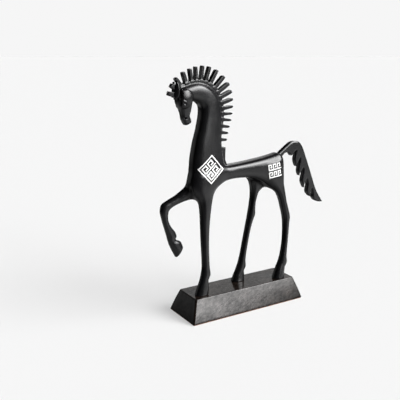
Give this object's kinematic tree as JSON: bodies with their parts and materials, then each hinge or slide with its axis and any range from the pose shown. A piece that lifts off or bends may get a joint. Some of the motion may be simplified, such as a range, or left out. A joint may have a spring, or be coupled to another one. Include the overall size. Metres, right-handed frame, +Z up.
{
  "type": "horse sculpture",
  "caption": "Stylised pacing horse figure in black cast metal, with a comb-like mane, a raised foreleg and a falling tail, on a tapered oblong plinth.",
  "frame": {"origin": "centre of the plinth's underside", "axes": "+Z up; the horse faces -X and its left side is -Y; +X runs along the plinth towards the tail"},
  "size_m": [0.1859, 0.0456, 0.2322],
  "materials": {
    "cast_metal": "satin black, with pale line emblems on the shoulders and haunches",
    "stained_wood": "black stain, satin, fine grain along the length"
  },
  "bodies": {
    "root": {"horse": "cast_metal", "base": "stained_wood"}
  },
  "joints": []
}
